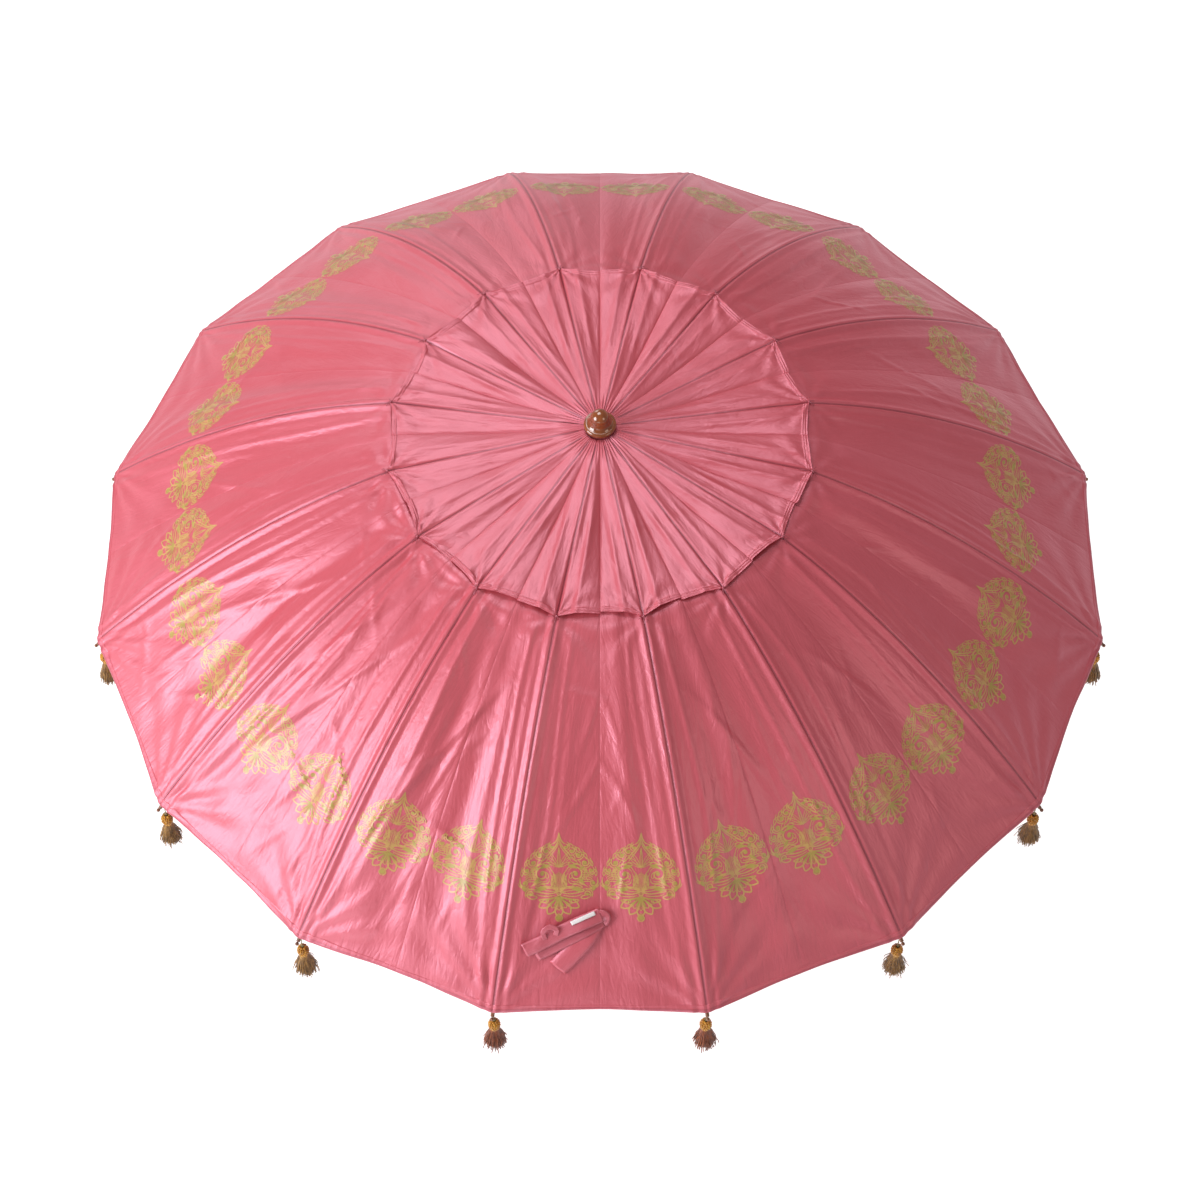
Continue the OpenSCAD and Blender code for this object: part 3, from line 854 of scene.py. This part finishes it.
def cap_point(k, side, r, s, extra=0.0):
    """A point of the cap in rib k's frame. r is the radius along the rib."""
    p = k if side < 0 else (k - 1) % N
    half = r * math.sin(H)
    w = (-1 + s / half) if side < 0 else (1 - s / half)
    sd = (1 - np.abs(w)) * half
    t = np.clip(r / RV, 0, 1.2)
    rnd = unit_noise(1300 + p, 20)
    free = 1 - w * w
    # the hem lifts and draws in between its ties
    edge = ease(0.45, 1.0, t)
    z = CAP_TOP + (CAP_EDGE - CAP_TOP) * t + 0.010 * (1 + 0.45 * rnd[0]) * free**0.7 * edge
    # the hem steps in a little where the fold line meets it
    step = 0.0055 * rnd[14] * (ease(-0.06, 0.05, w * np.sign(rnd[15])) - 0.5) * free * ease(0.8, 1.0, t)
    pull = step + 0.0065 * (1 + 0.5 * rnd[1]) * free**0.75 * ease(0.7, 1.0, t)
    lift = 0.0009 * bell(sd - 0.0055, 0.0036) * ease(0.1, 0.3, t)
    # the fold line down the middle stands up or lies down, so that the halves face apart
    lift = lift + (0.0035 * rnd[13] - 0.0065) * (1 - np.abs(w)) * ease(0.05, 0.5, t)
    lift = lift - 0.0009 * bell(sd, 0.0018)
    lift = lift + 0.0022 * bell(sd - 0.016 - 0.02 * t, 0.006) * ease(0.25, 0.6, t) * (1 + 0.5 * rnd[2])
    # pleats that run out from the finial
    for j in range(4):
        lift = lift + 0.0008 / (1 + 0.3 * j) * 0.6 * np.sin((1.1 + 0.9 * j) * w * math.pi / 1.0 + 3 * rnd[3 + j]) * ease(0.0, 0.35, 1 - np.abs(w)) * (0.35 + 0.65 * t)
    # each half panel is slacker on one side of its crease
    lift = lift + 0.0035 * np.where(w > 0, 1, -1) * (rnd[8] * 0.7) * bell(np.abs(w) - 0.35, 0.3) * ease(0.15, 0.6, t)
    # gathers that meet at each tie
    for sgn in (1, -1):
        dx, dy = half * (1 - w * sgn), np.abs(RV - r)
        dist, ang = np.hypot(dx, dy) + 1e-4, np.arctan2(dx, dy)
        lift = lift + 0.0030 * np.sin(ang * (9 + 2 * rnd[10]) + 2 * rnd[11] + sgn) * np.exp(-dist / 0.055) * ease(0, 0.03, dist)
        # the tie pulls the cap down on to the canopy
        z = z - 0.0005 * np.exp(-dist / 0.02)
    # puckers round the finial's foot
    lift = lift + 0.0008 * np.sin(4 * w * math.pi + rnd[12] * 3) * bell(r - 0.055, 0.028)
    # the crease down the middle
    x = w * half
    lift = lift - 0.0020 * np.exp(-np.abs(x) / 0.0035) * ease(0.1, 0.3, t)
    lift = lift + 0.0006 * smooth_noise(1700 + p, x * 90, r * 60) * ease(0.0, 0.02, sd)
    # the bound hem, a stitched double edge
    lift = lift + 0.0014 * ease(RV - 0.0125, RV - 0.0105, r) - 0.0009 * bell(r - (RV - 0.0085), 0.0012) - 0.0009 * bell(r - (RV - 0.0030), 0.0011)
    lift = lift + extra
    base = np.stack([r - pull - s * math.sin(H), side * s * math.cos(H), z], -1)
    out = np.array([0.10 * math.cos(H), 0.10 * side * math.sin(H), 0.995])
    return base + out * lift[..., None]


def make_cap():
    cols = half_panel_columns(18)
    rows = np.concatenate([np.linspace(CAP_IN, RV - 0.015, 46), RV - np.array([0.0128, 0.0118, 0.0108, 0.0098, 0.0086, 0.0074, 0.006, 0.0045, 0.0032, 0.002, 0.001, 0.0])])
    r, v = np.meshgrid(rows, cols, indexing="ij")
    s = v * r * math.sin(H)
    out = []
    for k in range(N):
        for side in (-1, 1):
            b = Build(azimuth(k))
            b.patch(cap_point(k, side, r, s), np.stack([s * 10, r * 10], -1), 0, flip=side > 0)
            # the edge turned under, in the darker hem colour, painted shade for the gap under the hem
            hr = np.full(5, RV) - np.array([0, -0.0004, 0.0002, 0.004, 0.011])
            lift = np.array([0, -0.0009, -0.0018, -0.0022, -0.0022])
            hr2, hv = np.meshgrid(hr, cols, indexing="ij")
            hs = hv * RV * math.sin(H)
            b.patch(cap_point(k, side, hr2, np.minimum(hs, hr2 * math.sin(H)), np.broadcast_to(lift[:, None], hr2.shape)), np.stack([hs * 10, hr2 * 10], -1), 1, flip=side > 0)
            # seam
            sr2, ss = np.meshgrid(np.linspace(CAP_IN + 0.012, RV, 40), np.array([0.0, 0.0006, 0.0013, 0.0018]), indexing="ij")
            b.patch(cap_point(k, side, sr2, ss, 0.0007 - 0.3 * ss), np.stack([ss * 10, sr2 * 10], -1), 2, flip=side > 0)
            o = b.object(f"cap_half_{k + 1:02d}{'a' if side < 0 else 'b'}", [M_SATIN, M_HEM_SHADED, M_SEAM])
            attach(o, f"rib_{k + 1:02d}_body")
            fold(o)
            out.append(o)
    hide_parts("vent_cap")
    # the gathered rosette under the finial, which stays on the crown when the ribs fold
    b = Build()
    rr = np.concatenate([np.linspace(0.012, 0.050, 12), [0.0525, 0.0545, 0.0555, 0.0555, 0.0545]])
    drop = np.concatenate([np.zeros(12), [0.0002, 0.0006, 0.0012, 0.0020, 0.0022]])
    th = np.linspace(0, 2 * math.pi, 257)
    r2, t2 = np.meshgrid(rr, th, indexing="ij")
    d2 = np.broadcast_to(drop[:, None], r2.shape)
    z = CAP_TOP - 0.084 * r2 - 0.0052 + 0.0012 * ease(0.02, 0.05, r2) * np.sin(48 * t2 + 1.3 * np.sin(5 * t2)) - d2
    wob = r2 * (1 + 0.02 * np.sin(16 * (t2 - azimuth(0)) + math.pi) * ease(0.03, 0.055, r2))
    b.patch(np.stack([wob * np.cos(t2), wob * np.sin(t2), z], -1), np.stack([t2 * 0.5, r2 * 10], -1), 0)
    o = b.object("cap_rosette", [M_SATIN])
    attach(o, "upper")
    return out


# ---------------------------------------------------------------- turned pieces
def lathe(name, profile, mats, segments=96, centre=(0, 0, 0), wobble=0.0):
    profile = np.asarray(profile, float)
    b = Build()
    th = np.linspace(0, 2 * math.pi, segments + 1)
    r, t = np.meshgrid(profile[:, 0], th, indexing="ij")
    z = np.broadcast_to(profile[:, 1][:, None], r.shape)
    b.patch(np.stack([centre[0] + r * np.cos(t), centre[1] + r * np.sin(t), centre[2] + z], -1), np.stack([t, z * 10], -1), 0, flip=True)
    o = b.object(name, mats)
    weld(o)
    return o


def weld(o, distance=1e-6):
    import bmesh

    bm = bmesh.new()
    bm.from_mesh(o.data)
    bmesh.ops.remove_doubles(bm, verts=bm.verts, dist=distance)
    bmesh.ops.recalc_face_normals(bm, faces=bm.faces)
    bm.to_mesh(o.data)
    bm.free()


def spline(ctrl, n):
    """Points on a smooth line through control points."""
    ctrl = np.asarray(ctrl, float)
    c = np.vstack([2 * ctrl[0] - ctrl[1], ctrl, 2 * ctrl[-1] - ctrl[-2]])
    out = []
    for i in range(1, len(c) - 2):
        for t in np.linspace(0, 1, n, endpoint=False):
            a, b, e, g = c[i - 1], c[i], c[i + 1], c[i + 2]
            out.append(0.5 * (2 * b + (e - a) * t + (2 * a - 5 * b + 4 * e - g) * t * t + (3 * b - a - 3 * e + g) * t**3))
    out.append(ctrl[-1])
    return np.array(out)


def make_ties():
    """At each rib a few stitches tie the cap's hem down through the canopy, and their ends stick out."""
    u, v = np.meshgrid(np.linspace(0, math.pi, 6), np.linspace(0, 2 * math.pi, 9), indexing="ij")
    ball = np.stack([np.sin(u) * np.cos(v), np.sin(u) * np.sin(v), np.cos(u)], -1)
    for k in range(N):
        r = rng(2100 + k)
        b = Build(azimuth(k))
        x, z = RV - 0.001, float(CAP_EDGE) + 0.0022
        b.patch(np.array([x, 0, z]) + ball * np.array([0.0034, 0.0030, 0.0026]), np.zeros((*u.shape, 2)), 0, flip=True)
        for j in range(4):
            ang = (j - 1.5) * 0.75 + 0.5 * r.uniform(-1, 1)
            length = r.uniform(0.009, 0.017)
            t = np.linspace(0, 1, 7)
            px = x + length * t * math.cos(ang)
            py = length * t * math.sin(ang)
            pz = z + 0.0012 * np.sin(t * 3) - np.clip(px - RV, 0, None) * 0.55 + 0.0006
            tube(np.stack([px, py, pz], -1), 0.0007, 5, b, 0)
        o = b.object(f"cap_tie_{k + 1:02d}", [M_SEAM])
        weld(o)
        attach(o, f"rib_{k + 1:02d}_body")


def make_finial():
    z0 = CAP_TOP + 0.0015
    lip = [(0.0102, 0.0), (0.0290, 0.0), (0.0315, 0.0008), (0.0331, 0.0028), (0.0335, 0.0052), (0.0330, 0.0078), (0.0315, 0.0098), (0.0292, 0.0110), (0.0276, 0.0112)]
    cove = [(0.0270, 0.0114), (0.0262, 0.0124), (0.0240, 0.0148), (0.0220, 0.0182), (0.0207, 0.0222), (0.0199, 0.0262)]
    a = np.linspace(-5, 90, 24)
    dome = [(0.0196 * math.cos(math.radians(x)), 0.0275 + 0.0195 * math.sin(math.radians(x))) for x in a]
    dome[-1] = (0.0, dome[-1][1])
    o = lathe("finial_turned", [*spline(lip, 4), *spline(cove, 5), *dome], [M_FINIAL], 96, (0, 0, z0))
    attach(o, "upper")
    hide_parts("finial")


# ---------------------------------------------------------------- tassels
HANG_R, HANG_Z = 1.092, 1.9352
CORD_L, HEAD_H, SKIRT_H = 0.040, 0.036, 0.064


def tube(points, radius, sides, b, mat, twist=0.0, cap=True):
    points = np.asarray(points, float)
    d = np.gradient(points, axis=0)
    d /= np.linalg.norm(d, axis=1)[:, None] + 1e-12
    up = np.array([0.0, 0.0, 1.0]) if abs(d[0][2]) < 0.9 else np.array([1.0, 0.0, 0.0])
    a1 = np.cross(d, up)
    a1 /= np.linalg.norm(a1, axis=1)[:, None] + 1e-12
    a2 = np.cross(d, a1)
    th = np.linspace(0, 2 * math.pi, sides + 1)
    rad = np.broadcast_to(radius, len(points))
    q = points[:, None] + rad[:, None, None] * (a1[:, None] * np.cos(th)[None, :, None] + a2[:, None] * np.sin(th)[None, :, None])
    b.patch(q, np.zeros((len(points), sides + 1, 2)), mat)


def make_tassels():
    exits = []
    for k in range(N):
        az = azimuth(k)
        r = rng(40 + k)
        body = f"tassel_{k + 1:02d}_body"
        ox, oy = HANG_R * math.cos(az), HANG_R * math.sin(az)
        # the cord, two plies that run through the head into the skirt
        line_z = np.linspace(0, -(CORD_L + HEAD_H + 0.030), 40)
        sway = 0.0006 * np.sin(line_z * 60 + k)
        path = np.stack([ox + sway, oy + 0 * line_z, HANG_Z + line_z], -1)
        b = Build()
        for ply in (0, math.pi):
            ph = line_z * 900 + ply
            tube(path + np.stack([0.00062 * np.cos(ph), 0.00062 * np.sin(ph), 0 * ph], -1), 0.00085, 8, b, 0)
        cord = b.object(f"tassel_cord_{k + 1:02d}", [M_CORD])
        weld(cord)
        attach(cord, body)
        # the head: rings of small knots over a core, under a little loop knot
        b = Build()
        hc = HANG_Z - CORD_L - HEAD_H / 2
        prof = lambda t: 0.0128 * np.sin(math.pi * np.clip(0.09 + 0.82 * t, 0, 1)) ** 0.72 * (1.0 - 0.10 * (1 - t))
        core_t = np.linspace(0, 1, 15)
        th = np.linspace(0, 2 * math.pi, 25)
        rr, tt = np.meshgrid(prof(core_t) * 0.86, th, indexing="ij")
        zz = np.broadcast_to((hc + HEAD_H * (0.5 - core_t))[:, None], rr.shape)
        b.patch(np.stack([ox + rr * np.cos(tt), oy + rr * np.sin(tt), zz], -1), np.zeros((*rr.shape, 2)), 0)
        n_rows = 8
        u = np.linspace(0, math.pi, 6)
        vv = np.linspace(0, 2 * math.pi, 9)
        uu, vg = np.meshgrid(u, vv, indexing="ij")
        ball = np.stack([np.sin(uu) * np.cos(vg), np.sin(uu) * np.sin(vg), np.cos(uu)], -1)
        for j in range(n_rows):
            t = (j + 0.5) / n_rows
            rad = float(prof(t)) * 0.90
            count = max(7, int(2 * math.pi * rad / 0.0046))
            for i in range(count):
                a = 2 * math.pi * (i + 0.5 * (j % 2) + 0.12 * r.uniform(-1, 1)) / count
                c = np.array([ox + rad * math.cos(a), oy + rad * math.sin(a), hc + HEAD_H * (0.5 - t) + r.uniform(-0.0003, 0.0003)])
                size = np.array([0.0023, 0.0023, 0.0027]) * r.uniform(0.9, 1.12)
                b.patch(c + ball * size, np.zeros((*uu.shape, 2)), 0, flip=True)
        # the whipped neck under the head
        for j in range(4):
            a = np.linspace(0, 2 * math.pi, 21)
            nz = hc - HEAD_H / 2 - 0.0005 - 0.0015 * j
            tube(np.stack([ox + 0.0072 * np.cos(a), oy + 0.0072 * np.sin(a), np.full(21, nz)], -1), 0.0009, 6, b, 0)
        # the small knot where the cord meets the head
        kz = HANG_Z - CORD_L + 0.002
        for c in ((0.0, 0.0, 0.0), (0.0016, 0.0006, 0.0016), (-0.0014, 0.0010, 0.0022)):
            b.patch(np.array([ox + c[0], oy + c[1], kz + c[2]]) + ball * np.array([0.0026, 0.0026, 0.0020]), np.zeros((*uu.shape, 2)), 1, flip=True)
        head = b.object(f"tassel_head_{k + 1:02d}", [M_HEAD, M_CORD])
        weld(head)
        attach(head, body)
        # the skirt: twisted threads in four layers
        b = Build()
        top = HANG_Z - CORD_L - HEAD_H - 0.001
        for layer, (count, rt, rb) in enumerate(((64, 0.0068, 0.0245), (54, 0.0058, 0.0205), (40, 0.0046, 0.0155), (24, 0.003, 0.010))):
            for i in range(count):
                a = 2 * math.pi * (i + 0.6 * r.uniform(-0.5, 0.5)) / count
                da = r.uniform(-0.10, 0.10)
                flare = r.uniform(0.86, 1.04)
                if layer == 0 and r.uniform() < 0.05:
                    flare = 1.22
                length = SKIRT_H * r.uniform(0.90, 1.0)
                t = np.linspace(0, 1, 9)
                rad = rt + (rb * flare - rt) * (0.72 * t + 0.28 * np.sin(t * math.pi / 2))
                wig = 0.0009 * np.sin(t * r.uniform(8, 16) + r.uniform(0, 6)) * t
                ang = a + da * t
                x = ox + (rad + wig) * np.cos(ang) - wig * np.sin(ang)
                y = oy + (rad + wig) * np.sin(ang) + wig * np.cos(ang)
                z = top - length * t + 0.0022 * (1 - t) * 0
                tube(np.stack([x, y, z], -1), 0.00105 * (1 - 0.2 * t), 4, b, 0)
        # the inner threads, a solid core that makes the skirt opaque
        cr = np.array([0.0, 0.0052, 0.0075, 0.0120, 0.0165, 0.0195, 0.0190, 0.0])
        cz = np.array([0.0, 0.0, -0.008, -0.024, -0.042, -0.056, -0.0575, -0.0560])
        tt = np.linspace(0, 2 * math.pi, 41)
        r2, t2 = np.meshgrid(cr, tt, indexing="ij")
        z2 = np.broadcast_to((top + cz)[:, None], r2.shape)
        r2 = r2 * (1 + 0.05 * np.sin(20 * t2))
        b.patch(np.stack([ox + r2 * np.cos(t2), oy + r2 * np.sin(t2), z2], -1), np.zeros((*r2.shape, 2)), 0)
        skirt = b.object(f"tassel_skirt_{k + 1:02d}", [M_COPPER if k in (0, 15) else M_SKIRT])
        weld(skirt)
        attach(skirt, body)
        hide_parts(f"tassel_{k + 1:02d}")
            # each head and skirt gets a mesh of its own
        for o in (head, skirt):
            c, s = math.cos(az), math.sin(az)
            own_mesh(o)
        cord_path = path
        exits.append(cord_path)
    return exits


# ---------------------------------------------------------------- the tie strap
def make_strap():
    """A folded band of the canopy's cloth that lies on the front panel, sewn down at one end, with a blank label."""
    k, side = 0, 1  # the front panel's left half belongs to rib 1, on the side of rib 16
    az = azimuth(k)

    def on_panel(x, a, lift):
        """x is metres to the right of the panel's middle, a the arc length from the rim."""
        r = np.interp(arc(R) - a, _arc, _r)
        s = np.clip(r * math.sin(H) + x, 0, None)
        return turned(az, canopy_point(k, side, r, s, lift))

    b = Build()

    def band(points, width, lifts, mat=0, twist=None, cols=7, puff=0.0):
        """A strip along points (x, a), width wide, at the given lifts."""
        pts = spline([(p[0], p[1], l) for p, l in zip(points, lifts)], 10)
        d = np.gradient(pts[:, :2], axis=0)
        d /= np.linalg.norm(d, axis=1)[:, None] + 1e-9
        nrm = np.stack([-d[:, 1], d[:, 0]], 1)
        c = np.linspace(-1, 1, cols)
        tw = np.zeros(len(pts)) if twist is None else np.interp(np.linspace(0, 1, len(pts)), np.linspace(0, 1, len(twist)), twist)
        x = pts[:, 0][:, None] + nrm[:, 0][:, None] * c * width / 2
        a = pts[:, 1][:, None] + nrm[:, 1][:, None] * c * width / 2
        l = pts[:, 2][:, None] + tw[:, None] * c + puff * (1 - c * c)
        top = on_panel(x, a, l + 0.0006)
        bot = on_panel(x, a, l - 0.0006)
        along = np.concatenate([[0], np.cumsum(np.linalg.norm(np.diff(pts[:, :2], axis=0), axis=1))])
        uv = np.stack([np.broadcast_to(c * width * 5, x.shape), np.broadcast_to(along[:, None] * 10, x.shape)], -1)
        b.patch(top, uv, mat)
        b.patch(bot, uv, mat, flip=True)
        for e, f in ((0, False), (-1, True)):
            b.patch(np.stack([top[:, e], bot[:, e]], 1), np.stack([uv[:, e], uv[:, e]], 1), mat, flip=f)
            b.patch(np.stack([top[e], bot[e]], 1), np.stack([uv[e], uv[e]], 1), mat, flip=not f)

    # the soft flap underneath
    band([(-0.012, 0.190), (-0.030, 0.160), (-0.056, 0.128), (-0.084, 0.096)], 0.040, [0.0030, 0.0045, 0.0040, 0.0018], mat=1, twist=[0.001, 0.002, 0.001, 0.0], puff=0.0016)
    # the layer that doubles back
    band([(0.004, 0.196), (-0.030, 0.178), (-0.070, 0.155), (-0.128, 0.124)], 0.029, [0.004, 0.006, 0.005, 0.004], mat=0, twist=[0.001, 0.002, 0.0, 0.0], puff=0.0008)
    # the fold at the right end
    band([(-0.006, 0.206), (0.006, 0.205), (0.008, 0.200), (0.002, 0.194)], 0.027, [0.011, 0.010, 0.007, 0.004], mat=0)
    # the long run, from the upper right to the lower left
    band([(0.002, 0.209), (-0.040, 0.192), (-0.080, 0.172), (-0.118, 0.150), (-0.150, 0.134)], 0.029, [0.010, 0.0125, 0.010, 0.008, 0.006], mat=0, twist=[0.001, 0.003, 0.002, 0.001, 0.0], puff=0.0012)
    # a small loop at the middle of the upper edge
    band([(-0.108, 0.158), (-0.112, 0.176), (-0.098, 0.187), (-0.086, 0.180), (-0.088, 0.168)], 0.010, [0.010, 0.014, 0.016, 0.015, 0.012], mat=0)
    strap = b.object("tie_strap_band", [M_STRAP, M_SATIN])
    weld(strap, 2e-6)
    # the blank label, sewn on at the strap's upper end
    b = Build()
    band([(-0.010, 0.214), (-0.034, 0.204), (-0.057, 0.193)], 0.0085, [0.0135, 0.0155, 0.0148], mat=0, cols=4)
    label = b.object("tie_strap_label", [M_LABEL])
    weld(label, 2e-6)
    for o, area in ((strap, None), (label, None)):
        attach(o, "rib_01_body")
        fold(o)
    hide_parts("tie_strap")
    return strap, label


# ---------------------------------------------------------------- run
def paint_frame():
    grain = {"pole": M_POLE, "crown_hub": M_FRAME, "runner": M_FRAME, "rib": M_FRAME, "stretcher": M_FRAME}
    for name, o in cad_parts.items():
        m = M_BRASS if name in ("pole_ferrule", "crown_pins", "runner_pins", "runner_knob") else None
        if m is None:
            m = next((v for k, v in grain.items() if name.startswith(k)), M_FRAME)
        for i in range(len(o.material_slots)):
            o.material_slots[i].material = m


def stage():
    def plane(name, size, z, colour, rough):
        me = bpy.data.meshes.new(name)
        me.from_pydata([(-size, -size, z), (size, -size, z), (size, size, z), (-size, size, z)], [], [(0, 1, 2, 3)])
        o = bpy.data.objects.new(name, me)
        bpy.context.scene.collection.objects.link(o)
        m = Nodes(name + "_paint")
        m.bsdf.inputs["Base Color"].default_value = (*colour, 1)
        m.bsdf.inputs["Emission Color"].default_value = (1, 1, 1, 1)
        m.bsdf.inputs["Emission Strength"].default_value = 0.52
        m.set(rough=rough, spec=0.2)
        me.materials.append(m.m)
        return o

    plane("floor", 60, -0.002, (0.86, 0.86, 0.86), 0.9)

    world = bpy.data.worlds.new("studio")
    bpy.context.scene.world = world
    world.use_nodes = True
    bg = world.node_tree.nodes["Background"]
    bg.inputs["Color"].default_value = (1.0, 1.0, 1.0, 1)
    bg.inputs["Strength"].default_value = 0.24

    def area(name, at, to, size, power, colour=(1, 1, 1)):
        light = bpy.data.lights.new(name, "AREA")
        light.shape, light.size, light.size_y = "RECTANGLE", size, size
        light.energy, light.color = power, colour
        o = bpy.data.objects.new(name, light)
        bpy.context.scene.collection.objects.link(o)
        o.location = at
        o.rotation_mode = "QUATERNION"
        o.rotation_quaternion = (Vector(to) - Vector(at)).to_track_quat("-Z", "Y")

    area("key", (-5.0, -2.2, 4.2), (0, 0, 2.1), 3.2, 340, (0.95, 0.96, 1.0))
    area("top", (-1.0, 2.2, 7.5), (0, 0, 2.1), 3.0, 170)
    area("fill", (4.5, -3.5, 5.5), (0, 0, 2.0), 2.5, 62, (1.0, 0.80, 0.66))
    area("back", (-2.5, 5.5, 4.2), (0, 0, 2.1), 2.5, 60)
    area("low", (-1.5, -5.0, 1.2), (0, 0, 1.6), 3.0, 60)

    cam = bpy.data.cameras.new("camera")
    cam.lens, cam.sensor_width = 88.46, 36
    cam.clip_start, cam.clip_end = 0.1, 200
    o = bpy.data.objects.new("camera", cam)
    bpy.context.scene.collection.objects.link(o)
    d, e = 5.8552 * R, math.radians(57.5)
    o.location = (0, -d * math.cos(e), ZR + d * math.sin(e))
    o.rotation_euler = (math.radians(31.646), 0, 0)
    bpy.context.scene.camera = o
    bpy.context.scene.view_settings.view_transform = "Standard"


stage()
paint_frame()
make_canopy()
make_cap()
make_tapes()
make_ties()
make_finial()
make_tassels()
make_strap()
